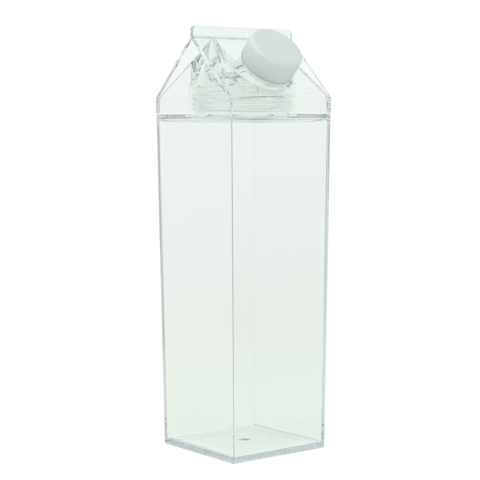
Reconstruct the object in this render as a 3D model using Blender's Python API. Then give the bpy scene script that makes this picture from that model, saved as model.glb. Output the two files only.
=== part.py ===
"""Clear acrylic bottle in the shape of a gable-top milk carton.

Three separate pieces: a square, slightly tapered bottle with a round threaded neck, a clear
gable-top lid that screws over the neck, and a white ribbed screw cap on the spout that stands
on the front slope of the lid.

Metres, +Z up. The origin is the middle of the foot, on the surface that the bottle stands on.
The ridge of the lid runs along X and the spout looks toward -Y.
"""

import math

import bmesh
import bpy
from mathutils import Matrix, Vector

# Clear space kept between pieces that touch on the real bottle
GAP = 0.0003

# How far a joined piece is sunk in its neighbour, and a cutter runs past the face that it opens
OVERLAP = 0.0010
RIM_ROUND = 0.0004

# Square bottle
FOOT_SIDE = 0.0578
SHOULDER_SIDE = 0.0620
SHOULDER_HEIGHT = 0.1675
BODY_WALL = 0.0016
FLOOR_THICKNESS = 0.0030
SHOULDER_THICKNESS = 0.0019
UPRIGHT_ROUND = 0.0005
INNER_ROUND = 0.0012
CEILING_ROUND = 0.0025

# Round neck with an outside thread
NECK_TOP = 0.1801
NECK_RADIUS = 0.0234
NECK_WALL = 0.0012
NECK_THREAD_CREST = 0.0243
NECK_THREAD_PITCH = 0.00255
NECK_THREAD_TURNS = 2.7
NECK_THREAD_START = 0.1693

# Gable-top lid
LID_SEAT_GAP = 0.0004
EAVE_HEIGHT = 0.17565
RIDGE_BASE_HEIGHT = 0.2047
LID_TOP = 0.2099
FIN_HALF_LENGTH = 0.0309
FIN_HALF_THICKNESS = 0.0012
FIN_END_ROUND = 0.0024
GABLE_INSET = 0.0120
ROOF_THICKNESS = 0.0020
SKIRT_WALL = 0.0019

# Collar inside the lid: a thin tube round the neck, then a thick drum from a ledge to the roof
COLLAR_RADIUS = 0.0257
COLLAR_WALL = 0.0011
LEDGE_HEIGHT = 0.1808
DRUM_FOOT = 0.1815
DRUM_SHOULDER = 0.1830
DRUM_RADIUS = 0.0250
DRUM_TOP_RADIUS = 0.0240
DRUM_BORE = 0.0171

# Spout, square to the front slope
SPOUT_UP_SLOPE = 0.01924
SPOUT_RADIUS = 0.0114
SPOUT_BORE = 0.0096
SPOUT_LENGTH = 0.0120
FLANGE_RADIUS = 0.0126
FLANGE_THICKNESS = 0.0024
SPOUT_THREAD_CREST = 0.0120
SPOUT_THREAD_PITCH = 0.0027
SPOUT_THREAD_TURNS = 2.2
SPOUT_THREAD_START = 0.0036

# Screw cap
CAP_RADIUS = 0.01385
CAP_HEIGHT = 0.0121
CAP_TOP_THICKNESS = 0.0016
CAP_WALL = 0.0015
CAP_EDGE_ROUND = 0.0019
CAP_RIBS = 60
CAP_RIB_DEPTH = 0.00025

# The section of both threads, as shares of the pitch, and how they end
THREAD_FOOT_SHARE = 0.80
THREAD_CREST_SHARE = 0.28
THREAD_SUNK = 0.0004
THREAD_FADE_TURNS = 0.12

# Facets round a cylinder, round one turn of a thread, and across a rounded edge
ROUND_STEPS = 64
THREAD_STEPS = 48
EDGE_STEPS = 3
CEILING_STEPS = 4
CAP_EDGE_STEPS = 4

# Worked out from the sizes above
HALF_SHOULDER = SHOULDER_SIDE / 2
HALF_FOOT = FOOT_SIDE / 2
LID_FOOT = SHOULDER_HEIGHT + LID_SEAT_GAP
SLOPE_RISE = RIDGE_BASE_HEIGHT - EAVE_HEIGHT
SLOPE_RUN = HALF_SHOULDER - FIN_HALF_THICKNESS
SLOPE_ANGLE = math.atan2(SLOPE_RISE, SLOPE_RUN)
GABLE_LEAN = math.atan2(GABLE_INSET, SLOPE_RISE)


def collection_named(name):
    """A new collection in the scene."""
    group = bpy.data.collections.new(name)
    bpy.context.scene.collection.children.link(group)
    return group


def clear_scene():
    """Remove whatever the scene holds."""
    for thing in list(bpy.data.objects):
        bpy.data.objects.remove(thing, do_unlink=True)
    for group in list(bpy.data.collections):
        bpy.data.collections.remove(group)


def object_from(mesh_data, name, group):
    """Turn a bmesh into an object, with its faces pointing out."""
    bmesh.ops.recalc_face_normals(mesh_data, faces=mesh_data.faces)
    mesh = bpy.data.meshes.new(name)
    mesh_data.to_mesh(mesh)
    mesh_data.free()
    thing = bpy.data.objects.new(name, mesh)
    group.objects.link(thing)
    return thing


def block(name, group, low_half, high_half, low_z, high_z, upright_round=0.0):
    """A cube pulled into a block whose upper face has its own half sizes.

    The halves are (half length in X, half length in Y). With a round, the upright edges and the
    edges of the foot are rounded by it.
    """
    shape = bmesh.new()
    bmesh.ops.create_cube(shape, size=2.0)
    for vertex in shape.verts:
        is_high = vertex.co.z > 0
        half = high_half if is_high else low_half
        vertex.co.x *= half[0]
        vertex.co.y *= half[1]
        vertex.co.z = high_z if is_high else low_z
    if upright_round > 0:
        foot_and_uprights = [edge for edge in shape.edges
                             if min(end.co.z for end in edge.verts) < (low_z + high_z) / 2]
        bmesh.ops.bevel(shape, geom=foot_and_uprights, offset=upright_round, offset_type="OFFSET",
                        segments=EDGE_STEPS, profile=0.5, affect="EDGES")
    return object_from(shape, name, group)


def cylinder(name, group, radius, low_z, high_z, rim_round=0.0):
    """An upright cylinder about Z, with its upper rim rounded when a round is given."""
    shape = bmesh.new()
    bmesh.ops.create_cone(shape, cap_ends=True, segments=ROUND_STEPS, radius1=radius, radius2=radius,
                          depth=high_z - low_z,
                          matrix=Matrix.Translation((0, 0, (low_z + high_z) / 2)))
    if rim_round > 0:
        rim = [edge for edge in shape.edges
               if min(end.co.z for end in edge.verts) > high_z - rim_round / 10]
        bmesh.ops.bevel(shape, geom=rim, offset=rim_round, offset_type="OFFSET",
                        segments=2, profile=0.5, affect="EDGES")
    return object_from(shape, name, group)


def loft(name, group, rings):
    """A closed solid through rings of points, the first and last ring filled."""
    shape = bmesh.new()
    rows = [[shape.verts.new(point) for point in ring] for ring in rings]
    for row, following in zip(rows, rows[1:]):
        for index in range(len(row)):
            after = (index + 1) % len(row)
            shape.faces.new((row[index], row[after], following[after], following[index]))
    shape.faces.new(rows[0])
    shape.faces.new(rows[-1])
    return object_from(shape, name, group)


def rounded_square(half, corner_round, height):
    """A level ring of points: a square of a half size with round corners."""
    ring = []
    for quarter in range(4):
        for step in range(EDGE_STEPS + 1):
            angle = math.pi / 2 * (quarter + step / EDGE_STEPS)
            middle = (half - corner_round) * math.sqrt(2)
            corner = math.pi / 2 * quarter + math.pi / 4
            ring.append((middle * math.cos(corner) + corner_round * math.cos(angle),
                         middle * math.sin(corner) + corner_round * math.sin(angle), height))
    return ring


def turned(name, group, profile):
    """A solid of revolution about Z: level circles of (radius, height), joined by straight walls."""
    rings = []
    for radius, height in profile:
        ring = []
        for step in range(ROUND_STEPS):
            angle = 2 * math.pi * step / ROUND_STEPS
            ring.append((radius * math.cos(angle), radius * math.sin(angle), height))
        rings.append(ring)
    return loft(name, group, rings)


def thread(name, group, root, crest, pitch, turns, start):
    """A helical ridge about Z: a four-sided section that climbs one pitch a turn.

    The ridge is sunk into its cylinder and fades to nothing over its first and last part turn.
    """
    foot_half = THREAD_FOOT_SHARE * pitch / 2
    crest_half = THREAD_CREST_SHARE * pitch / 2
    hidden = root - THREAD_SUNK
    low = root - THREAD_SUNK / 2
    stations = int(turns * THREAD_STEPS) + 1
    rings = []
    for station in range(stations):
        turn = turns * station / (stations - 1)
        angle = 2 * math.pi * turn
        height = start + pitch * turn
        full = min(1.0, turn / THREAD_FADE_TURNS, (turns - turn) / THREAD_FADE_TURNS)
        outer = low + (crest - low) * full
        section = ((hidden, -foot_half), (outer, -crest_half),
                   (outer, crest_half), (hidden, foot_half))
        rings.append([(radius * math.cos(angle), radius * math.sin(angle), height + along)
                      for radius, along in section])
    return loft(name, group, rings)


def combine(target, tool, operation, cutters):
    """Join a tool to a target, or cut the target with it, and set the tool aside."""
    step = target.modifiers.new(f"{operation.lower()} {tool.name}", "BOOLEAN")
    step.operation = operation
    step.solver = "EXACT"
    step.object = tool
    tool.hide_render = True
    tool.display_type = "WIRE"
    for group in tool.users_collection:
        group.objects.unlink(tool)
    cutters.objects.link(tool)


def material(name, colour, roughness, transmission, ior):
    """A Principled material."""
    look = bpy.data.materials.new(name)
    look.use_nodes = True
    shader = look.node_tree.nodes["Principled BSDF"]
    shader.inputs["Base Color"].default_value = (*colour, 1.0)
    shader.inputs["Roughness"].default_value = roughness
    shader.inputs["Metallic"].default_value = 0.0
    shader.inputs["Transmission Weight"].default_value = transmission
    shader.inputs["IOR"].default_value = ior
    return look


def wall_half_at(height):
    """Half the side of the tapered bottle at a height."""
    return HALF_FOOT + (HALF_SHOULDER - HALF_FOOT) * height / SHOULDER_HEIGHT


def make_inside(name, group, ceiling):
    """The filled form of the bottle's square space, round along its floor, uprights and ceiling."""
    rings = []
    for step in range(EDGE_STEPS + 1):
        turn = math.pi / 2 * step / EDGE_STEPS
        height = FLOOR_THICKNESS + INNER_ROUND * (1 - math.cos(turn))
        half = wall_half_at(height) - BODY_WALL - INNER_ROUND * (1 - math.sin(turn))
        rings.append(rounded_square(half, INNER_ROUND, height))
    for step in range(CEILING_STEPS + 1):
        turn = math.pi / 2 * step / CEILING_STEPS
        height = ceiling - CEILING_ROUND * (1 - math.sin(turn))
        half = wall_half_at(height) - BODY_WALL - CEILING_ROUND * (1 - math.cos(turn))
        rings.append(rounded_square(half, INNER_ROUND, height))
    return loft(name, group, rings)


def make_bottle(parts, cutters, look):
    """The square bottle with its neck: one hollow piece, open at the neck."""
    bottle = block("bottle_body", parts, (HALF_FOOT, HALF_FOOT), (HALF_SHOULDER, HALF_SHOULDER),
                   0.0, SHOULDER_HEIGHT, UPRIGHT_ROUND)
    neck = cylinder("neck_blank", cutters, NECK_RADIUS, SHOULDER_HEIGHT - OVERLAP, NECK_TOP,
                    RIM_ROUND)
    ridge = thread("neck_thread", cutters, NECK_RADIUS, NECK_THREAD_CREST, NECK_THREAD_PITCH,
                   NECK_THREAD_TURNS, NECK_THREAD_START)
    ceiling = SHOULDER_HEIGHT - SHOULDER_THICKNESS
    inside = make_inside("bottle_inside", cutters, ceiling)
    bore = cylinder("neck_bore", cutters, NECK_RADIUS - NECK_WALL, ceiling - OVERLAP,
                    NECK_TOP + OVERLAP)
    combine(bottle, neck, "UNION", cutters)
    combine(bottle, ridge, "UNION", cutters)
    combine(bottle, inside, "DIFFERENCE", cutters)
    combine(bottle, bore, "DIFFERENCE", cutters)
    bottle.data.materials.append(look)
    return bottle


def spout_frame():
    """The placing of the spout: on the front slope, its own Z square to the slope."""
    foot = Vector((0.0,
                   -HALF_SHOULDER + SPOUT_UP_SLOPE * math.cos(SLOPE_ANGLE),
                   EAVE_HEIGHT + SPOUT_UP_SLOPE * math.sin(SLOPE_ANGLE)))
    return Matrix.Translation(foot) @ Matrix.Rotation(SLOPE_ANGLE, 4, "X")


def make_lid_envelope(name, group):
    """The filled outer form of the lid: a square skirt under a tent with leaning gables."""
    skirt = block(name, group, (HALF_SHOULDER, HALF_SHOULDER), (HALF_SHOULDER, HALF_SHOULDER),
                  LID_FOOT, EAVE_HEIGHT)
    tent = block(f"{name}_tent", group, (HALF_SHOULDER, HALF_SHOULDER),
                 (HALF_SHOULDER - GABLE_INSET, FIN_HALF_THICKNESS), EAVE_HEIGHT, RIDGE_BASE_HEIGHT)
    return skirt, tent


def make_roof_plate(name, group, side):
    """One sloping roof plate, side -1 for the front and +1 for the back, out to both rakes.

    It runs a little past the middle of the fin, where the two plates cross.
    """
    drop = ROOF_THICKNESS / math.cos(SLOPE_ANGLE)
    ridge_y = -OVERLAP / 4
    ridge_z = EAVE_HEIGHT + (HALF_SHOULDER - ridge_y) * math.tan(SLOPE_ANGLE)
    shape = bmesh.new()
    bmesh.ops.create_cube(shape, size=2.0)
    for vertex in shape.verts:
        is_ridge = vertex.co.y > 0
        is_outer = vertex.co.z > 0
        vertex.co.x *= FIN_HALF_LENGTH if is_ridge else HALF_SHOULDER
        vertex.co.y = side * (ridge_y if is_ridge else HALF_SHOULDER)
        vertex.co.z = (ridge_z if is_ridge else EAVE_HEIGHT) - (0.0 if is_outer else drop)
    return object_from(shape, name, group)


def make_fin(name, group):
    """The flat fin along the ridge, its two upper corners rounded."""
    fin = block(name, group, (FIN_HALF_LENGTH, FIN_HALF_THICKNESS),
                (FIN_HALF_LENGTH, FIN_HALF_THICKNESS), RIDGE_BASE_HEIGHT - OVERLAP, LID_TOP)
    shape = bmesh.new()
    shape.from_mesh(fin.data)
    ends = [edge for edge in shape.edges
            if all(end.co.z > LID_TOP - GAP for end in edge.verts)
            and abs(edge.verts[0].co.x - edge.verts[1].co.x) < GAP]
    bmesh.ops.bevel(shape, geom=ends, offset=FIN_END_ROUND, offset_type="OFFSET",
                    segments=4, profile=0.5, affect="EDGES")
    shape.to_mesh(fin.data)
    shape.free()
    return fin


def make_lid(parts, cutters, look):
    """The gable-top lid with its inner collar and its spout: one piece, open below."""
    lid, tent = make_lid_envelope("gable_lid", parts)

    # The hollow: a square space under a tent that keeps the roof and gable thickness
    skirt_inner = HALF_SHOULDER - SKIRT_WALL
    roof_shift = ROOF_THICKNESS / math.sin(SLOPE_ANGLE)
    gable_shift = ROOF_THICKNESS / math.cos(GABLE_LEAN)
    knee = EAVE_HEIGHT - (roof_shift - SKIRT_WALL) * math.tan(SLOPE_ANGLE)
    peak_half_y = OVERLAP / 4
    peak_drop = roof_shift + peak_half_y - FIN_HALF_THICKNESS
    peak = RIDGE_BASE_HEIGHT - peak_drop * math.tan(SLOPE_ANGLE)
    peak_half_x = HALF_SHOULDER - (peak - EAVE_HEIGHT) * math.tan(GABLE_LEAN) - gable_shift
    hollow = block("lid_hollow", cutters, (skirt_inner, skirt_inner), (skirt_inner, skirt_inner),
                   LID_FOOT - OVERLAP, knee)
    hollow_tent = block("lid_hollow_tent", cutters, (skirt_inner, skirt_inner),
                        (peak_half_x, peak_half_y), knee, peak)
    combine(hollow, hollow_tent, "UNION", cutters)

    # The collar: a tube and drum cut to the form of the lid, closed by the roof above them
    collar = turned("collar", cutters,
                    ((COLLAR_RADIUS, LID_FOOT), (COLLAR_RADIUS, DRUM_FOOT),
                     (DRUM_RADIUS, DRUM_SHOULDER), (DRUM_TOP_RADIUS, LID_TOP)))
    form, form_tent = make_lid_envelope("collar_form", cutters)
    combine(form, form_tent, "UNION", cutters)
    combine(collar, form, "INTERSECT", cutters)
    tube_bore = COLLAR_RADIUS - COLLAR_WALL
    collar_bore = turned("collar_bore", cutters,
                         ((tube_bore, LID_FOOT - OVERLAP), (tube_bore, LEDGE_HEIGHT),
                          (DRUM_BORE, LEDGE_HEIGHT), (DRUM_BORE, LID_TOP + OVERLAP)))
    combine(collar, collar_bore, "DIFFERENCE", cutters)

    # The spout: flange, tube and thread, bored through the roof plate
    place = spout_frame()
    flange = cylinder("spout_flange", cutters, FLANGE_RADIUS, -OVERLAP, FLANGE_THICKNESS,
                      RIM_ROUND)
    tube = cylinder("spout_tube", cutters, SPOUT_RADIUS, -1.2 * OVERLAP, SPOUT_LENGTH, RIM_ROUND)
    ridge = thread("spout_thread", cutters, SPOUT_RADIUS, SPOUT_THREAD_CREST, SPOUT_THREAD_PITCH,
                   SPOUT_THREAD_TURNS, SPOUT_THREAD_START)
    bore = cylinder("spout_bore", cutters, SPOUT_BORE, -1.2 * ROOF_THICKNESS,
                    SPOUT_LENGTH + OVERLAP)
    for piece in (flange, tube, ridge, bore):
        piece.matrix_world = place

    combine(lid, tent, "UNION", cutters)
    combine(lid, hollow, "DIFFERENCE", cutters)
    for side, name in ((-1, "front_roof_plate"), (1, "back_roof_plate")):
        combine(lid, make_roof_plate(name, cutters, side), "UNION", cutters)
    combine(lid, make_fin("ridge_fin", cutters), "UNION", cutters)
    combine(lid, collar, "UNION", cutters)
    combine(lid, flange, "UNION", cutters)
    combine(lid, tube, "UNION", cutters)
    combine(lid, ridge, "UNION", cutters)
    combine(lid, bore, "DIFFERENCE", cutters)
    lid.data.materials.append(look)
    return lid


def make_cap(parts, cutters, look):
    """The screw cap: ribbed side, rounded upper edge, hollow below."""
    columns = 2 * CAP_RIBS
    side_top = CAP_HEIGHT - CAP_EDGE_ROUND
    profile = [(CAP_RADIUS, 0.0, True), (CAP_RADIUS, side_top, True)]
    for step in range(1, CAP_EDGE_STEPS + 1):
        turn = math.pi / 2 * step / CAP_EDGE_STEPS
        radius = CAP_RADIUS - CAP_EDGE_ROUND + CAP_EDGE_ROUND * math.cos(turn)
        profile.append((radius, side_top + CAP_EDGE_ROUND * math.sin(turn), False))
    rings = []
    for radius, height, is_ribbed in profile:
        ring = []
        for column in range(columns):
            angle = 2 * math.pi * column / columns
            groove = CAP_RIB_DEPTH if is_ribbed and column % 2 else 0.0
            ring.append(((radius - groove) * math.cos(angle), (radius - groove) * math.sin(angle),
                         height))
        rings.append(ring)
    cap = loft("screw_cap", parts, rings)
    hollow = cylinder("cap_hollow", cutters, CAP_RADIUS - CAP_WALL, -OVERLAP,
                      CAP_HEIGHT - CAP_TOP_THICKNESS)
    place = spout_frame() @ Matrix.Translation((0, 0, FLANGE_THICKNESS + GAP))
    cap.matrix_world = place
    hollow.matrix_world = place
    combine(cap, hollow, "DIFFERENCE", cutters)
    cap.data.materials.append(look)
    return cap


def main():
    clear_scene()
    parts = collection_named("acrylic_milk_carton_bottle")
    cutters = collection_named("cutters")
    clear = material("clear acrylic", (0.93, 0.97, 0.95), 0.04, 1.0, 1.49)
    white = material("white plastic", (0.80, 0.84, 0.82), 0.45, 0.0, 1.50)
    pieces = (make_bottle(parts, cutters, clear),
              make_lid(parts, cutters, clear),
              make_cap(parts, cutters, white))
    for piece in pieces:
        piece.data.shade_smooth()
        piece.data.set_sharp_from_angle(angle=math.radians(30))


main()
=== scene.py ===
"""Looks of a clear acrylic bottle in the shape of a gable-top milk carton.

Three pieces: the square bottle with its threaded neck, the gable-top lid with its spout, and the
white ribbed screw cap. Metres, +Z up, the ridge of the lid along X, the spout toward -Y.

The bottle, the spout and the cap are closed skins through rings of points. The rest of the lid is
flat, so it is made of convex solids that are joined and cut, and its edges are rounded after that.
"""

import math

import bmesh
import bpy
import numpy as np
from mathutils import Matrix, Vector


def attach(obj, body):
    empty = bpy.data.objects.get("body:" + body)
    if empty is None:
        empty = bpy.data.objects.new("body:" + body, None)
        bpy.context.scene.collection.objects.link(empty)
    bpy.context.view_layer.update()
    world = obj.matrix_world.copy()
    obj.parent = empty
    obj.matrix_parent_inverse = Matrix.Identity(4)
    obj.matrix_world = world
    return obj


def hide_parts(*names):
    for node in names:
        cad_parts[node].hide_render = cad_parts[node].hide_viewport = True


# The photograph's camera: a long lens that looks at the front left corner from just above
PHOTO_SIDE = 480
FOCAL_PIXELS = 1434.292
SENSOR_WIDTH = 36.0
CAMERA_TURN = math.radians(37.567)
CAMERA_TILT = math.radians(4.686)
CAMERA_ROLL = math.radians(-0.206)
CAMERA_DISTANCE = 0.718063
AIM_HEIGHT = 0.104623
AIM_ASIDE = -0.001628

# Square bottle
HALF_FOOT = 0.0289
HALF_SHOULDER = 0.0310
SHOULDER_HEIGHT = 0.1675
BODY_WALL = 0.0016
FLOOR_HEIGHT = 0.0030
CEILING_HEIGHT = 0.1656
UPRIGHT_ROUND = 0.0005
FOOT_ROUND = 0.0012
SHOULDER_ROUND = 0.0004
INNER_ROUND = 0.0012
INNER_UPRIGHT_ROUND = 0.0003
CEILING_ROUND = 0.0025
GATE_RADIUS = 0.0016
GATE_FLOOR_RADIUS = 0.00112
GATE_DEPTH = 0.0003

# Rings across the bottle's flat and straight parts, and the smallest corners that they keep
FOOT_RINGS = (0.003, 0.012, 0.022)
FLOOR_RINGS = (0.020, 0.010, 0.004)
FLAT_CORNER_SHARE = 0.4
PLATE_SHARES = np.array((0.25, 0.5, 0.75))
WALL_RINGS = 24
WALL_FOOT = 0.0040
WALL_TOP_GAP = 0.0020
SMALLEST_CORNER = 0.0001
CEILING_CORNER = 0.0002

# Neck of the bottle and its thread
NECK_TOP = 0.1801
NECK_RADIUS = 0.0234
NECK_BORE = 0.0222
NECK_ROOT_ROUND = 0.0005
NECK_CREST = 0.0243
NECK_PITCH = 0.00255
NECK_TURNS = 2.7
NECK_START = 0.1693
NECK_RING_STEP = 0.00012
NECK_FOOT_GAP = 0.0007
NECK_TOP_GAP = 0.0006
BORE_RINGS = 8
BORE_TOP_GAP = 0.0020
BORE_FOOT_GAP = 0.0010

# Gable-top lid
LID_FOOT = 0.1679
EAVE_HEIGHT = 0.17565
RIDGE_HEIGHT = 0.2047
LID_TOP = 0.2099
FIN_HALF_LENGTH = 0.0309
FIN_HALF_THICKNESS = 0.0012
FIN_END_ROUND = 0.0024
FIN_SUNK = 0.0010
GABLE_INSET = 0.0120
WALL_THICKNESS = 0.0020
INNER_RIDGE_HALF = 0.0002
PLATE_PAST_RIDGE = 0.0003
LID_EDGE_ROUND = 0.00030
KNEE_ROUND = 0.0030

# Collar inside the lid: a thin tube round the neck, then a thick drum from a ledge to the roof
COLLAR_RADIUS = 0.0257
COLLAR_BORE = 0.0246
LEDGE_HEIGHT = 0.1808
LEDGE_SLANT = 0.0001
DRUM_FOOT = 0.1815
DRUM_SHOULDER = 0.1830
DRUM_RADIUS = 0.0250
DRUM_TOP = 0.2150
DRUM_TOP_RADIUS = 0.0240
DRUM_BORE = 0.0171

# How far the cutting forms reach past the lid's foot, each past the one before
SPACE_PAST_FOOT = 0.001
COLLAR_PAST_FOOT = 0.002
BORE_PAST_FOOT = 0.003

# Spout, square to the front slope
SPOUT_UP_SLOPE = 0.01924
SPOUT_RADIUS = 0.0114
SPOUT_BORE = 0.0096
SPOUT_LENGTH = 0.0120
SPOUT_SUNK = 0.0016
SPOUT_CREST = 0.0120
SPOUT_PITCH = 0.0027
SPOUT_TURNS = 2.2
SPOUT_START = 0.0036
SPOUT_RING_STEP = 0.00018
SPOUT_FOOT_GAP = 0.0003
SPOUT_TOP_GAP = 0.0005
FLANGE_RADIUS = 0.0126
FLANGE_THICKNESS = 0.0024
FLANGE_ROUND = 0.0004
FLANGE_ROOT = 0.0010
FLANGE_SUNK = 0.0005
FLANGE_LOW_RING = 0.0003
SATIN_LOW = 0.0002
SATIN_PAST_TOP = 0.0001
OPENING_RADIUS = 0.0104
OPENING_DEPTH = 0.0024
OPENING_RISE = 0.0010

# Screw cap
CAP_LIFT = 0.0027
CAP_RADIUS = 0.01384
CAP_HEIGHT = 0.0121
CAP_TOP_THICKNESS = 0.0016
CAP_WALL = 0.0015
CAP_EDGE_ROUND = 0.0019
CAP_RIBS = 60
CAP_RIB_DEPTH = 0.00009
CAP_FOOT_DRAW = 0.0002
CAP_FOOT_RIBS = 0.6
CAP_RIB_FADE = 0.6
CAP_SIDE_RINGS = (0.0002, 0.0012, 0.0040, 0.0080)
CAP_SIDE_TOP_GAP = 0.0006
CAP_TOP_RING = 0.0060
CAP_INNER_BEVEL = 0.0006
CAP_MOUTH_BEVEL = 0.0003

# Columns round a turned piece in degrees, and the meeting distances of points that are merged
TURN_STEP = 2.0
CAP_TURN_STEP = 0.75
PLATE_WELD = 0.00001
SPOUT_WELD = 0.000003

# The threads' section as shares of the pitch, and how they end
THREAD_FOOT_SHARE = 0.80
THREAD_CREST_SHARE = 0.28
THREAD_FADE_TURNS = 0.12

# Clear plastic: its faint green tint with painted light and shade by height, lighter and bluer in the
# bottle's floor and at the shoulder, darkest and greenest just above the foot, and a painted shade
# band at the ridge where the fin meets the roof; and how strongly it takes in light along the way, all
# fitted by average colours to the photograph
BOTTLE_TINT_AND_PAINTED_LIGHT = ((0.0030, (0.948, 0.985, 0.978)),
                (0.0040, (0.905, 0.946, 0.903)),
                (0.0300, (0.905, 0.946, 0.903)),
                (0.0900, (0.927, 0.951, 0.929)),
                (0.1500, (0.950, 0.973, 0.954)),
                (0.1668, (0.950, 0.973, 0.954)),
                (0.1680, (0.975, 0.978, 0.985)))
# Painted shade: a darker band at the ridge, where the fin meets the roof, over the lid's faint green
LID_TINT_AND_PAINTED_SHADE = ((0.2034, (0.946, 0.976, 0.953)),
             (0.2038, (0.800, 0.860, 0.830)),
             (0.2052, (0.800, 0.860, 0.830)),
             (0.2056, (0.893, 0.955, 0.912)))
ABSORPTION_COLOR = (0.0, 0.22, 0.31)
BOTTLE_ABSORPTION = 5.1
LID_ABSORPTION = 3.0
ACRYLIC_IOR = 1.49
WAVE_SCALE = 60.0
WAVE_DETAIL = 2.0
WAVE_STRENGTH = 0.03
WAVE_HEIGHT = 0.0005

# Satin parts of the clear plastic: the foot's underside up to a height, and the flange's edge
FROST_ROUGHNESS = 0.12
FROST_FULL_HEIGHT = 0.0004
FROST_END_HEIGHT = 0.0008
FLANGE_ROUGHNESS = 0.35

# White plastic of the cap
CAP_COLOR = (0.736, 0.815, 0.772)
CAP_ROUGHNESS = 0.45
GRAIN_SCALE = 2500.0
GRAIN_DETAIL = 3.0
GRAIN_STRENGTH = 0.15
GRAIN_HEIGHT = 0.0001

# Studio: the surround is white ahead of the camera and grey at the sides and behind it
WHITE_COSINE = 0.70
GREY_COSINE = 0.15
SIDE_LIGHT = 0.75
FLOOR_SIDE = 6.0
FLOOR_LEVEL = -0.0003
LIGHT_APEX = 0.20

# Lamp for the matt cap, high on the left, fitted to the tone of the cap in the photograph
LAMP_DIRECTION = (-0.75, 0.13, 0.65)
LAMP_STRENGTH = 0.96
LAMP_SPREAD = math.radians(90)

# How often light may turn inside the clear walls
CLEAR_BOUNCES = 256
GLOSSY_BOUNCES = 64
SURE_BOUNCES = 64

SLOPE_ANGLE = math.atan2(RIDGE_HEIGHT - EAVE_HEIGHT, HALF_SHOULDER - FIN_HALF_THICKNESS)
GABLE_LEAN = math.atan2(GABLE_INSET, RIDGE_HEIGHT - EAVE_HEIGHT)


def make_camera():
    """Place the camera on the line through its aim point, along its own view direction."""
    view = Vector((math.sin(CAMERA_TURN) * math.cos(CAMERA_TILT),
                   math.cos(CAMERA_TURN) * math.cos(CAMERA_TILT),
                   -math.sin(CAMERA_TILT)))
    right = Vector((math.cos(CAMERA_TURN), -math.sin(CAMERA_TURN), 0.0))
    up = right.cross(view)
    level_right = right * math.cos(CAMERA_ROLL) + up * math.sin(CAMERA_ROLL)
    level_up = up * math.cos(CAMERA_ROLL) - right * math.sin(CAMERA_ROLL)
    place = Vector((0, 0, AIM_HEIGHT)) + right * AIM_ASIDE - view * CAMERA_DISTANCE
    camera = bpy.data.objects.new("camera", bpy.data.cameras.new("camera"))
    camera.data.sensor_width = SENSOR_WIDTH
    camera.data.lens = FOCAL_PIXELS * SENSOR_WIDTH / PHOTO_SIDE
    camera.data.clip_start = 0.01
    turn = Matrix((level_right, level_up, -view)).transposed().to_4x4()
    camera.matrix_world = Matrix.Translation(place) @ turn
    bpy.context.scene.collection.objects.link(camera)
    bpy.context.scene.camera = camera


def link(name, mesh):
    """A new object in the scene that shows a mesh."""
    piece = bpy.data.objects.new(name, mesh)
    bpy.context.scene.collection.objects.link(piece)
    return piece


def edit(mesh, change):
    """Change a mesh by a function of its editable form."""
    shape = bmesh.new()
    shape.from_mesh(mesh)
    change(shape)
    shape.to_mesh(mesh)
    shape.free()


def skin(name, rings, low_pole=None, high_pole=None):
    """A closed smooth surface over a grid of points: ring after ring, and column by column in each.

    A four-sided face joins each point, the next in its ring and the two beyond them in the next
    ring. With poles, each end ring is drawn together in its pole. Without them the last ring is
    joined to the first, which closes a tube on itself.
    """
    columns = rings.shape[1]
    grid = np.arange(rings.shape[0] * columns).reshape(-1, columns)
    near, far = grid, np.roll(grid, -1, axis=0)
    points = rings.reshape(-1, 3)
    fans = []
    if low_pole is not None:
        near, far = grid[:-1], grid[1:]
        poles = np.full((2, columns), len(points)) + ((0,), (1,))
        low_fan = np.stack((poles[0], np.roll(grid[0], -1), grid[0]), axis=-1)
        high_fan = np.stack((poles[1], grid[-1], np.roll(grid[-1], -1)), axis=-1)
        fans = np.stack((low_fan, high_fan), axis=1).reshape(-1, 3).tolist()
        points = np.vstack((points, low_pole, high_pole))
    quads = np.stack((near, np.roll(near, -1, axis=1), np.roll(far, -1, axis=1), far), axis=-1)
    mesh = bpy.data.meshes.new(name)
    mesh.from_pydata(points.tolist(), [], quads.reshape(-1, 4).tolist() + fans)
    edit(mesh, lambda shape: bmesh.ops.recalc_face_normals(shape, faces=shape.faces))
    mesh.shade_smooth()
    return link(name, mesh)


def hull(name, points):
    """The convex solid round a set of points."""
    def wrap(shape):
        bmesh.ops.convex_hull(shape, input=shape.verts)
        bmesh.ops.dissolve_limit(shape, angle_limit=math.radians(0.1), verts=shape.verts,
                                 edges=shape.edges)
        bmesh.ops.recalc_face_normals(shape, faces=shape.faces)

    mesh = bpy.data.meshes.new(name)
    mesh.from_pydata(points, [], [])
    edit(mesh, wrap)
    return link(name, mesh)


def soften(thing, chosen, width):
    """Round the edges of a solid for whose two ends a test holds."""
    def bevel(shape):
        edges = [edge for edge in shape.edges if chosen(edge.verts[0].co, edge.verts[1].co)]
        bmesh.ops.bevel(shape, geom=edges, offset=width, offset_type="WIDTH", segments=6,
                        profile=0.5, affect="EDGES")

    edit(thing.data, bevel)


def weld(thing, distance):
    """Merge points closer than a distance and take out the faces that this leaves without area."""
    def merge(shape):
        bmesh.ops.remove_doubles(shape, verts=shape.verts, dist=distance)
        bmesh.ops.dissolve_degenerate(shape, edges=shape.edges, dist=distance)

    edit(thing.data, merge)


def bake(thing):
    """Give an object the mesh that its modifiers make, and clear them."""
    bpy.context.view_layer.update()
    seen = thing.evaluated_get(bpy.context.evaluated_depsgraph_get())
    mesh = bpy.data.meshes.new_from_object(seen)
    thing.modifiers.clear()
    thing.data = mesh


def combine(target, tool, operation):
    """Join a solid to a target or cut the target with it, and remove the tool."""
    step = target.modifiers.new(operation.lower(), "BOOLEAN")
    step.operation = operation
    step.solver = "EXACT"
    step.object = tool
    bake(target)
    bpy.data.objects.remove(tool, do_unlink=True)


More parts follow.
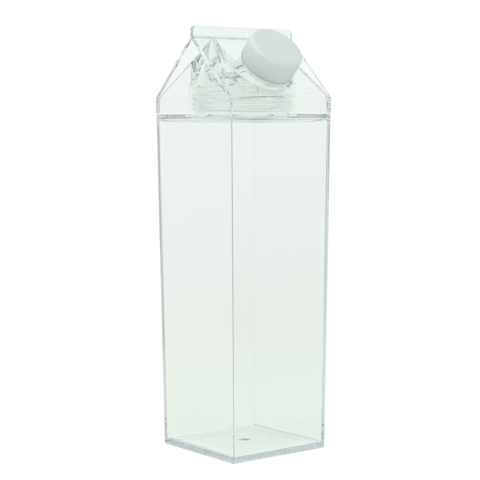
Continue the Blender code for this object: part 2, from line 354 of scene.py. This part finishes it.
def arc(middle_out, middle_up, radius, from_degrees, to_degrees, steps):
    """Points on a circle: its middle plus the radius times the cosine and sine of the turn.

    The two rows of the array are how far out and how far up the points are.
    """
    turns = np.radians(np.linspace(from_degrees, to_degrees, steps + 1))
    return np.array((middle_out + radius * np.cos(turns), middle_up + radius * np.sin(turns)))


def square_columns():
    """Column angles round the bottle: even along each side, close together at each corner."""
    side = np.arange(-40.0, 40.1, 2.5)
    beside = np.array((0.35, 0.7, 0.97, 1.3, 2.0, 3.0))
    quarter = np.concatenate((side, 45.0 - beside[::-1], (45.0,), 45.0 + beside))
    return np.radians(np.concatenate([quarter + 90.0 * turn for turn in range(4)]))


def square_radius(half, corner, angles):
    """Distance from the axis to a square with round corners, in each direction.

    Each angle is folded into 0 to 45 degrees from the nearest side. On the straight part the
    distance is half over the cosine. On the corner it is the far crossing with the corner's circle,
    whose middle is at half minus corner in both directions. A corner as large as the half side
    gives a circle.
    """
    quarter = math.pi / 2
    folded = np.abs((angles + quarter / 2) % quarter - quarter / 2)
    middle = half - corner
    straight = half / np.cos(folded)
    off = quarter / 2 - folded
    inside = np.maximum(corner ** 2 - 2 * (middle * np.sin(off)) ** 2, 0.0)
    round_part = middle * math.sqrt(2) * np.cos(off) + np.sqrt(inside)
    return np.where(half * np.tan(folded) > middle, round_part, straight)


def level_rings(radius, heights, angles):
    """Rings of points at heights: radius times the cosine and sine of each angle, and the height."""
    flat = np.broadcast_arrays(radius * np.cos(angles), radius * np.sin(angles), heights)
    return np.stack(flat, axis=-1)


def square_rings(half, corner, heights, angles):
    """Level rings on squares with round corners, one for each half side, corner and height."""
    half, corner, heights = np.broadcast_arrays(half, corner, heights)
    radius = square_radius(half[:, None], corner[:, None], angles)
    return level_rings(radius, heights[:, None], angles)


def round_rings(profile, angles):
    """Level circles, one for each column of an array of radii and heights."""
    radius, heights = np.asarray(profile)
    return level_rings(radius[:, None], heights[:, None], angles)


def thread_height(heights, angles, start, pitch, turns):
    """How far a helical ridge stands out, from 0 to 1, at given heights and angles.

    The ridge's middle climbs one pitch a turn. Its section is flat over the crest share of the
    pitch and falls smoothly to nothing at the foot share. Both ends fade over a part of a turn.
    """
    climbed = (heights - start) / pitch - angles / (2 * math.pi)
    nearest = np.round(climbed)
    away = np.abs(climbed - nearest)
    along = nearest + angles / (2 * math.pi)
    fall = (THREAD_FOOT_SHARE / 2 - away) / ((THREAD_FOOT_SHARE - THREAD_CREST_SHARE) / 2)
    fall = np.clip(fall, 0.0, 1.0)
    fade = np.clip(np.minimum(along, turns - along) / THREAD_FADE_TURNS, 0.0, 1.0)
    return fall * fall * (3 - 2 * fall) * fade


def threaded_rings(heights, angles, root, crest, start, pitch, turns):
    """Level rings on a round neck, pushed out from root to crest where the thread passes."""
    heights = heights[:, None]
    stands = thread_height(heights, angles % (2 * math.pi), start, pitch, turns)
    return level_rings(root + (crest - root) * stands, heights, angles)


def outer_half(height):
    """Half the side of the tapered bottle at a height."""
    return HALF_FOOT + (HALF_SHOULDER - HALF_FOOT) * height / SHOULDER_HEIGHT


def corner_at(inset, full):
    """The corner of a ring on a rounded edge: as much smaller as the ring is drawn in."""
    return np.maximum(full - inset, SMALLEST_CORNER)


def bottle_outside(angles):
    """Rings from the middle of the foot up the outside and in over the shoulder to the neck.

    The sides are straight, and every turn is an arc of a circle.
    """
    foot = np.array(FOOT_RINGS)
    foot_half = outer_half(0)
    edge, edge_up = arc(foot_half - FOOT_ROUND, FOOT_ROUND, FOOT_ROUND, -90, 0, 5)
    side_up = np.linspace(WALL_FOOT, SHOULDER_HEIGHT - SHOULDER_ROUND, WALL_RINGS)
    top = outer_half(SHOULDER_HEIGHT) - SHOULDER_ROUND
    rim, rim_up = arc(top, SHOULDER_HEIGHT - SHOULDER_ROUND, SHOULDER_ROUND, 15, 90, 4)
    neck = NECK_RADIUS + NECK_ROOT_ROUND
    plate = top + (neck - top) * PLATE_SHARES
    plate_corner = UPRIGHT_ROUND + (neck - UPRIGHT_ROUND) * PLATE_SHARES
    root = arc(neck, SHOULDER_HEIGHT + NECK_ROOT_ROUND, NECK_ROOT_ROUND, 270, 180, 4)
    return np.concatenate((
        square_rings(foot, foot * FLAT_CORNER_SHARE, 0.0, angles),
        square_rings(edge, corner_at(foot_half - edge, UPRIGHT_ROUND), edge_up, angles),
        square_rings(outer_half(side_up), UPRIGHT_ROUND, side_up, angles),
        square_rings(rim, UPRIGHT_ROUND - SHOULDER_ROUND, rim_up, angles),
        square_rings(plate, plate_corner, SHOULDER_HEIGHT, angles),
        round_rings(root, angles)))


def bottle_inside(angles):
    """Rings over the neck's rim, down the bore, out under the shoulder and down to the floor.

    The last two rings are the edge and the bottom of the round mark in the floor.
    """
    lip = (NECK_RADIUS - NECK_BORE) / 2
    rim = arc(NECK_BORE + lip, NECK_TOP - lip, lip, 0, 180, 10)
    bore_up = np.linspace(NECK_TOP - BORE_TOP_GAP, CEILING_HEIGHT + BORE_FOOT_GAP, BORE_RINGS)
    bore_foot = NECK_BORE + NECK_ROOT_ROUND
    root = arc(bore_foot, CEILING_HEIGHT + NECK_ROOT_ROUND, NECK_ROOT_ROUND, 180, 270, 4)
    top = outer_half(CEILING_HEIGHT) - BODY_WALL - CEILING_ROUND
    plate = bore_foot + (top - bore_foot) * PLATE_SHARES
    plate_corner = bore_foot * (1 - PLATE_SHARES) + CEILING_CORNER * PLATE_SHARES
    ceiling, ceiling_up = arc(top, CEILING_HEIGHT - CEILING_ROUND, CEILING_ROUND, 90, 0, 8)
    side_up = np.linspace(CEILING_HEIGHT - CEILING_ROUND - WALL_TOP_GAP,
                          FLOOR_HEIGHT + INNER_ROUND, WALL_RINGS)
    low = outer_half(FLOOR_HEIGHT) - BODY_WALL - INNER_ROUND
    edge, edge_up = arc(low, FLOOR_HEIGHT + INNER_ROUND, INNER_ROUND, -15, -90, 5)
    floor = np.array(FLOOR_RINGS)
    gate = ((GATE_RADIUS, GATE_FLOOR_RADIUS), (FLOOR_HEIGHT, FLOOR_HEIGHT - GATE_DEPTH))
    return np.concatenate((
        round_rings(rim, angles),
        square_rings(NECK_BORE, NECK_BORE, bore_up, angles),
        round_rings(root, angles),
        square_rings(plate, plate_corner, CEILING_HEIGHT, angles),
        square_rings(ceiling, corner_at(top + CEILING_ROUND - ceiling, INNER_UPRIGHT_ROUND),
                     ceiling_up, angles),
        square_rings(outer_half(side_up) - BODY_WALL, INNER_UPRIGHT_ROUND, side_up, angles),
        square_rings(edge, corner_at(low + INNER_ROUND - edge, INNER_UPRIGHT_ROUND), edge_up, angles),
        square_rings(floor, floor * FLAT_CORNER_SHARE, FLOOR_HEIGHT, angles),
        round_rings(gate, angles)))


def make_bottle():
    """The bottle as one closed skin of level rings: up the outside, up the thread, down the inside."""
    angles = square_columns()
    thread_up = np.arange(SHOULDER_HEIGHT + NECK_FOOT_GAP, NECK_TOP - NECK_TOP_GAP, NECK_RING_STEP)
    thread = threaded_rings(thread_up, angles, NECK_RADIUS, NECK_CREST, NECK_START, NECK_PITCH,
                            NECK_TURNS)
    rings = np.concatenate((bottle_outside(angles), thread, bottle_inside(angles)))
    return skin("clear_bottle", rings, (0, 0, 0), (0, 0, FLOOR_HEIGHT - GATE_DEPTH))


def spout_place():
    """The placing of the spout: on the front slope, its own Z square to the slope."""
    foot = Vector((0.0,
                   -HALF_SHOULDER + SPOUT_UP_SLOPE * math.cos(SLOPE_ANGLE),
                   EAVE_HEIGHT + SPOUT_UP_SLOPE * math.sin(SLOPE_ANGLE)))
    return Matrix.Translation(foot) @ Matrix.Rotation(SLOPE_ANGLE, 4, "X")


def placed(rings, place):
    """The rings moved by a placing."""
    return rings @ np.array(place.to_3x3()).T + np.array(place.translation)


def tent_points(inset):
    """Corners of the lid's outer form, moved in by a thickness.

    A square skirt, then a tent whose gables lean in: the roof planes and gable planes are moved
    square to themselves by the inset, and the skirt by the same amount. Where the roof planes would
    meet below the ridge, the tent ends in a narrow level strip.
    """
    half = HALF_SHOULDER - inset
    roof_shift = inset / math.sin(SLOPE_ANGLE)
    gable_shift = inset / math.cos(GABLE_LEAN)
    top = RIDGE_HEIGHT
    top_y = FIN_HALF_THICKNESS - roof_shift
    if top_y < INNER_RIDGE_HALF:
        top -= (INNER_RIDGE_HALF - top_y) * math.tan(SLOPE_ANGLE)
        top_y = INNER_RIDGE_HALF
    top_x = HALF_SHOULDER - gable_shift - (top - EAVE_HEIGHT) * math.tan(GABLE_LEAN)
    knee = EAVE_HEIGHT - (roof_shift - inset) * math.tan(SLOPE_ANGLE)
    corners = []
    for x_side in (-1, 1):
        for y_side in (-1, 1):
            corners.append((x_side * half, y_side * half, LID_FOOT))
            corners.append((x_side * half, y_side * half, knee))
            corners.append((x_side * top_x, y_side * top_y, top))
    return corners


def roof_plate_points(side):
    """Corners of one roof plate, out to both rakes and a little past the middle of the fin."""
    drop = WALL_THICKNESS / math.cos(SLOPE_ANGLE)
    ridge = EAVE_HEIGHT + (HALF_SHOULDER + PLATE_PAST_RIDGE) * math.tan(SLOPE_ANGLE)
    corners = []
    for x_side in (-1, 1):
        for down in (0.0, drop):
            corners.append((x_side * HALF_SHOULDER, side * HALF_SHOULDER, EAVE_HEIGHT - down))
            corners.append((x_side * FIN_HALF_LENGTH, -side * PLATE_PAST_RIDGE, ridge - down))
    return corners


def fin_points():
    """Corners of the flat fin along the ridge, its two upper corners on quarter circles."""
    end = arc(FIN_HALF_LENGTH - FIN_END_ROUND, LID_TOP - FIN_END_ROUND, FIN_END_ROUND, 0, 90, 8)
    corners = []
    for x_side in (-1, 1):
        for y_side in (-1, 1):
            y = y_side * FIN_HALF_THICKNESS
            corners.append((x_side * FIN_HALF_LENGTH, y, RIDGE_HEIGHT - FIN_SUNK))
            corners.extend((x_side * out, y, up) for out, up in end.T)
    return corners


def turned(name, circles, angles):
    """A solid of revolution about Z through circles of (radius, height)."""
    rings = round_rings(np.transpose(circles), angles)
    return skin(name, rings, (0, 0, circles[0][1]), (0, 0, circles[-1][1]))


def lid_space():
    """The filled form of the lid's hollow, open past the foot, its front and back knees rounded."""
    space = hull("lid_space", [(x, y, z - SPACE_PAST_FOOT if z == LID_FOOT else z)
                               for x, y, z in tent_points(WALL_THICKNESS)])
    close = 0.0001

    def is_knee(first, second):
        level = abs(first.z - second.z) < close
        along_x = abs(first.y - second.y) < close
        return level and along_x and LID_FOOT < first.z < EAVE_HEIGHT + close

    soften(space, is_knee, KNEE_ROUND)
    return space


def make_spout(place, angles):
    """The spout as a tube of rings closed on itself: flange, thread, rim, and down the bore."""
    lip = (SPOUT_RADIUS - SPOUT_BORE) / 2
    root = ((SPOUT_BORE, SPOUT_RADIUS, SPOUT_RADIUS, FLANGE_RADIUS, FLANGE_RADIUS),
            (-SPOUT_SUNK, -SPOUT_SUNK, -FLANGE_ROOT, -FLANGE_SUNK, FLANGE_LOW_RING))
    edge = arc(FLANGE_RADIUS - FLANGE_ROUND, FLANGE_THICKNESS - FLANGE_ROUND, FLANGE_ROUND, 0, 90, 4)
    thread_up = np.arange(FLANGE_THICKNESS + SPOUT_FOOT_GAP, SPOUT_LENGTH - SPOUT_TOP_GAP,
                          SPOUT_RING_STEP)
    thread = threaded_rings(thread_up, angles, SPOUT_RADIUS, SPOUT_CREST, SPOUT_START, SPOUT_PITCH,
                            SPOUT_TURNS)
    rim = arc(SPOUT_BORE + lip, SPOUT_LENGTH - lip, lip, 0, 180, 8)
    rings = np.concatenate((round_rings(root, angles), round_rings(edge, angles), thread,
                            round_rings(rim, angles)))
    return skin("spout", placed(rings, place))


def mark_flange(mesh, place):
    """Store the share "satin" on the lid's points: 1 on the flange's edge above the roof, else 0."""
    points = np.empty(3 * len(mesh.vertices))
    mesh.vertices.foreach_get("co", points)
    from_spout = (points.reshape(-1, 3) - np.array(place.translation)) @ np.array(place.to_3x3())
    out = np.hypot(from_spout[:, 0], from_spout[:, 1])
    up = from_spout[:, 2]
    past_thread = out > SPOUT_CREST + FLANGE_ROUND
    on_edge = past_thread & (up > SATIN_LOW) & (up < FLANGE_THICKNESS + SATIN_PAST_TOP)
    mesh.attributes.new("satin", "FLOAT", "POINT").data.foreach_set("value", on_edge.astype(float))


def make_lid():
    """The lid: a solid tent with two spaces cut out of it, then plates, fin and spout joined.

    One space lies round the collar and one within it, so what is left between them is the collar.
    """
    angles = np.radians(np.arange(0, 360, TURN_STEP))
    lid = hull("clear_lid", tent_points(0.0))
    around = lid_space()
    collar = ((COLLAR_RADIUS, LID_FOOT - COLLAR_PAST_FOOT), (COLLAR_RADIUS, DRUM_FOOT),
              (DRUM_RADIUS, DRUM_SHOULDER), (DRUM_TOP_RADIUS, DRUM_TOP))
    combine(around, turned("collar", collar, angles), "DIFFERENCE")
    within = lid_space()
    bore = ((COLLAR_BORE, LID_FOOT - BORE_PAST_FOOT), (COLLAR_BORE, LEDGE_HEIGHT - LEDGE_SLANT),
            (DRUM_BORE, LEDGE_HEIGHT), (DRUM_BORE, DRUM_TOP))
    combine(within, turned("bore", bore, angles), "INTERSECT")
    combine(lid, around, "DIFFERENCE")
    combine(lid, within, "DIFFERENCE")
    combine(lid, hull("front_plate", roof_plate_points(-1)), "UNION")
    combine(lid, hull("back_plate", roof_plate_points(1)), "UNION")
    combine(lid, hull("fin", fin_points()), "UNION")
    weld(lid, PLATE_WELD)
    rounding = lid.modifiers.new("rounding", "BEVEL")
    rounding.width = LID_EDGE_ROUND
    rounding.segments = 3
    rounding.limit_method = "ANGLE"
    rounding.angle_limit = math.radians(25)
    bake(lid)

    place = spout_place()
    opening = turned("opening", ((OPENING_RADIUS, -OPENING_DEPTH), (OPENING_RADIUS, OPENING_RISE)),
                     angles)
    opening.data.transform(place)
    combine(lid, opening, "DIFFERENCE")
    combine(lid, make_spout(place, angles), "UNION")
    weld(lid, SPOUT_WELD)
    mark_flange(lid.data, place)
    lid.data.shade_smooth()
    lid.data.set_sharp_from_angle(angle=math.radians(35))
    flatten = lid.modifiers.new("flat faces stay flat", "WEIGHTED_NORMAL")
    flatten.keep_sharp = True
    return lid


def make_cap():
    """The cap as one closed skin of rings about its own axis: up the hollow's side, up the outside.

    The outside carries ribs: the radius is drawn in by half the rib depth times one plus the cosine
    of the rib count times the angle. The upper edge is a quarter circle where the ribs fade out.
    Each ring is a radius, a height and the strength of its ribs.
    """
    angles = np.radians(np.arange(0, 360, CAP_TURN_STEP))
    wave = CAP_RIB_DEPTH * (1 + np.cos(CAP_RIBS * angles + math.pi)) / 2
    side_top = CAP_HEIGHT - CAP_EDGE_ROUND
    ceiling = CAP_HEIGHT - CAP_TOP_THICKNESS
    inner = CAP_RADIUS - CAP_WALL
    hollow = ((inner - CAP_INNER_BEVEL, ceiling, 0.0), (inner, ceiling - CAP_INNER_BEVEL, 0.0),
              (inner, CAP_MOUTH_BEVEL, 0.0), (inner + CAP_MOUTH_BEVEL, 0.0, 0.0))
    foot = (CAP_RADIUS - CAP_FOOT_DRAW, 0.0, CAP_FOOT_RIBS)
    side = [(CAP_RADIUS, height, 1.0) for height in (*CAP_SIDE_RINGS, side_top - CAP_SIDE_TOP_GAP)]
    out, up = arc(CAP_RADIUS - CAP_EDGE_ROUND, side_top, CAP_EDGE_ROUND, 0, 90, 10)
    edge_ribs = np.maximum(0.0, 1 - (up - side_top) / (CAP_RIB_FADE * CAP_EDGE_ROUND))
    edge = np.stack((out, up, edge_ribs), axis=1)
    top = (CAP_TOP_RING, CAP_HEIGHT, 0.0)
    radius, heights, ribs = np.vstack((hollow, foot, side, edge, top)).T[:, :, None]
    place = spout_place() @ Matrix.Translation((0, 0, CAP_LIFT))
    return skin("ribbed_cap", placed(level_rings(radius - wave * ribs, heights, angles), place),
                place @ Vector((0, 0, ceiling)), place @ Vector((0, 0, CAP_HEIGHT)))


def new_material(name):
    """An empty node material, its node tree and its Principled shader."""
    look = bpy.data.materials.new(name)
    look.use_nodes = True
    return look, look.node_tree, look.node_tree.nodes["Principled BSDF"]


def noise_bump(tree, shader, scale, detail, strength, height):
    """A bump on the shader from a noise texture over the object's own coordinates."""
    place = tree.nodes.new("ShaderNodeTexCoord")
    noise = tree.nodes.new("ShaderNodeTexNoise")
    noise.inputs["Scale"].default_value = scale
    noise.inputs["Detail"].default_value = detail
    tree.links.new(place.outputs["Object"], noise.inputs["Vector"])
    bump = tree.nodes.new("ShaderNodeBump")
    bump.inputs["Strength"].default_value = strength
    bump.inputs["Distance"].default_value = height
    tree.links.new(noise.outputs["Fac"], bump.inputs["Height"])
    tree.links.new(bump.outputs["Normal"], shader.inputs["Normal"])


def clear_plastic(name, tint_and_painted_light, absorption):
    """Clear, faintly green plastic with the slight waviness of a moulded wall.

    The tint follows height, fitted to the photograph, and paints in light and shade: the walls are
    darker and greener toward the foot, and a painted shade line runs below the fin. The wall itself is
    even. The roughness is the frost of the foot's underside, which ends just above it, plus the satin
    share times the flange's roughness.
    """
    look, tree, shader = new_material(name)
    place = tree.nodes.new("ShaderNodeTexCoord")
    parts = tree.nodes.new("ShaderNodeSeparateXYZ")
    tree.links.new(place.outputs["Object"], parts.inputs["Vector"])

    share = tree.nodes.new("ShaderNodeMath")
    share.operation = "DIVIDE"
    share.inputs[1].default_value = LID_TOP
    tree.links.new(parts.outputs["Z"], share.inputs[0])
    # The ramp paints light and shade by height into the base colour, over the plastic's faint green
    tint_and_painted_light_ramp = tree.nodes.new("ShaderNodeValToRGB")
    stops = tint_and_painted_light_ramp.color_ramp.elements
    while len(stops) < len(tint_and_painted_light):
        stops.new(0.5)
    for stop, (height, colour) in zip(stops, tint_and_painted_light):
        stop.position = height / LID_TOP
        stop.color = (*colour, 1)
    tree.links.new(share.outputs["Value"], tint_and_painted_light_ramp.inputs["Fac"])
    tree.links.new(tint_and_painted_light_ramp.outputs["Color"], shader.inputs["Base Color"])

    frost = tree.nodes.new("ShaderNodeMapRange")
    frost.inputs["From Min"].default_value = FROST_FULL_HEIGHT
    frost.inputs["From Max"].default_value = FROST_END_HEIGHT
    frost.inputs["To Min"].default_value = FROST_ROUGHNESS
    frost.inputs["To Max"].default_value = 0.0
    tree.links.new(parts.outputs["Z"], frost.inputs["Value"])
    satin = tree.nodes.new("ShaderNodeAttribute")
    satin.attribute_name = "satin"
    roughness = tree.nodes.new("ShaderNodeMath")
    roughness.operation = "MULTIPLY_ADD"
    roughness.inputs[1].default_value = FLANGE_ROUGHNESS
    tree.links.new(satin.outputs["Fac"], roughness.inputs[0])
    tree.links.new(frost.outputs["Result"], roughness.inputs[2])
    tree.links.new(roughness.outputs["Value"], shader.inputs["Roughness"])

    shader.inputs["Transmission Weight"].default_value = 1.0
    shader.inputs["IOR"].default_value = ACRYLIC_IOR
    depth = tree.nodes.new("ShaderNodeVolumeAbsorption")
    depth.inputs["Color"].default_value = (*ABSORPTION_COLOR, 1)
    depth.inputs["Density"].default_value = absorption
    tree.links.new(depth.outputs["Volume"], tree.nodes["Material Output"].inputs["Volume"])
    noise_bump(tree, shader, WAVE_SCALE, WAVE_DETAIL, WAVE_STRENGTH, WAVE_HEIGHT)
    return look


def white_plastic():
    """White satin plastic with a fine moulded grain."""
    look, tree, shader = new_material("white plastic")
    shader.inputs["Base Color"].default_value = (*CAP_COLOR, 1)
    shader.inputs["Roughness"].default_value = CAP_ROUGHNESS
    noise_bump(tree, shader, GRAIN_SCALE, GRAIN_DETAIL, GRAIN_STRENGTH, GRAIN_HEIGHT)
    return look


def add_fall(tree, cosine, strength_socket):
    """Light strength from the cosine of the angle to an axis: white near the axis, grey far off."""
    strength = tree.nodes.new("ShaderNodeMapRange")
    strength.interpolation_type = "SMOOTHSTEP"
    strength.inputs["From Min"].default_value = GREY_COSINE
    strength.inputs["From Max"].default_value = WHITE_COSINE
    strength.inputs["To Min"].default_value = SIDE_LIGHT
    strength.inputs["To Max"].default_value = 1.0
    tree.links.new(cosine, strength.inputs["Value"])
    tree.links.new(strength.outputs["Result"], strength_socket)


def make_world():
    """White studio surround behind the bottle, falling to grey at the sides and behind the camera.

    The strength follows the cosine between a direction and the camera's level view direction.
    """
    world = bpy.data.worlds.new("studio")
    bpy.context.scene.world = world
    world.use_nodes = True
    tree = world.node_tree
    background = tree.nodes["Background"]
    background.inputs["Color"].default_value = (1, 1, 1, 1)
    place = tree.nodes.new("ShaderNodeTexCoord")
    along = tree.nodes.new("ShaderNodeVectorMath")
    along.operation = "DOT_PRODUCT"
    along.inputs[1].default_value = (math.sin(CAMERA_TURN), math.cos(CAMERA_TURN), 0.0)
    tree.links.new(place.outputs["Generated"], along.inputs[0])
    add_fall(tree, along.outputs["Value"], background.inputs["Strength"])


def make_floor():
    """White paper under the bottle, glowing with painted light: white there and behind it, and falling
    to grey to the sides and front.

    The strength follows the same rule as the surround, with the direction taken on the floor from a
    point in front of the bottle. The paper has no gloss.
    """
    bpy.ops.mesh.primitive_plane_add(size=FLOOR_SIDE, location=(0, 0, FLOOR_LEVEL))
    floor = bpy.context.object
    floor.name = "floor"
    floor.rotation_euler.z = -CAMERA_TURN
    look, tree, shader = new_material("pale floor")
    shader.inputs["Base Color"].default_value = (0, 0, 0, 1)
    shader.inputs["Specular IOR Level"].default_value = 0.0
    # The floor glows instead of being lit: painted light, white near the bottle and grey off to the
    # sides
    shader.inputs["Emission Color"].default_value = (1, 1, 1, 1)
    place = tree.nodes.new("ShaderNodeTexCoord")
    shift = tree.nodes.new("ShaderNodeVectorMath")
    shift.inputs[1].default_value = (0.0, LIGHT_APEX, 0.0)
    tree.links.new(place.outputs["Object"], shift.inputs[0])
    level = tree.nodes.new("ShaderNodeVectorMath")
    level.operation = "NORMALIZE"
    tree.links.new(shift.outputs["Vector"], level.inputs[0])
    parts = tree.nodes.new("ShaderNodeSeparateXYZ")
    tree.links.new(level.outputs["Vector"], parts.inputs["Vector"])
    add_fall(tree, parts.outputs["Y"], shader.inputs["Emission Strength"])
    floor.data.materials.append(look)


def make_lamp():
    """A broad soft lamp that only matt surfaces show, so nothing of it is seen in the clear walls."""
    lamp = bpy.data.objects.new("lamp", bpy.data.lights.new("lamp", "SUN"))
    lamp.data.energy = LAMP_STRENGTH
    lamp.data.angle = LAMP_SPREAD
    lamp.rotation_euler = Vector(LAMP_DIRECTION).to_track_quat("Z", "Y").to_euler()
    lamp.visible_camera = False
    lamp.visible_glossy = False
    lamp.visible_transmission = False
    bpy.context.scene.collection.objects.link(lamp)


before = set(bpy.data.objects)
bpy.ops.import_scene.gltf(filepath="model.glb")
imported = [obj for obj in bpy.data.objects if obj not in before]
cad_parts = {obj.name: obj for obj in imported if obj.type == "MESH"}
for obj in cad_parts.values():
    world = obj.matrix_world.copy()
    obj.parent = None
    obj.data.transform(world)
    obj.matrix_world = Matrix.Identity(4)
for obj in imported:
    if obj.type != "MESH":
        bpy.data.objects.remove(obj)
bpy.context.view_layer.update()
scene = bpy.context.scene
scene.view_settings.view_transform = "Standard"
scene.cycles.max_bounces = CLEAR_BOUNCES
scene.cycles.transmission_bounces = CLEAR_BOUNCES
scene.cycles.glossy_bounces = GLOSSY_BOUNCES
scene.cycles.min_light_bounces = SURE_BOUNCES
make_camera()
make_world()
make_floor()
make_lamp()
clear = clear_plastic("clear acrylic bottle", BOTTLE_TINT_AND_PAINTED_LIGHT, BOTTLE_ABSORPTION)
lid_clear = clear_plastic("clear acrylic lid", LID_TINT_AND_PAINTED_SHADE, LID_ABSORPTION)
white = white_plastic()
for piece, node, look, slot in ((make_bottle(), "bottle_body", clear, "clear_acrylic"),
                                (make_lid(), "gable_lid", lid_clear, "clear_acrylic"),
                                (make_cap(), "screw_cap", white, "white_plastic")):
    piece.data.materials.clear()
    piece.data.materials.append(look)
    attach(piece, "root")
    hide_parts(node)
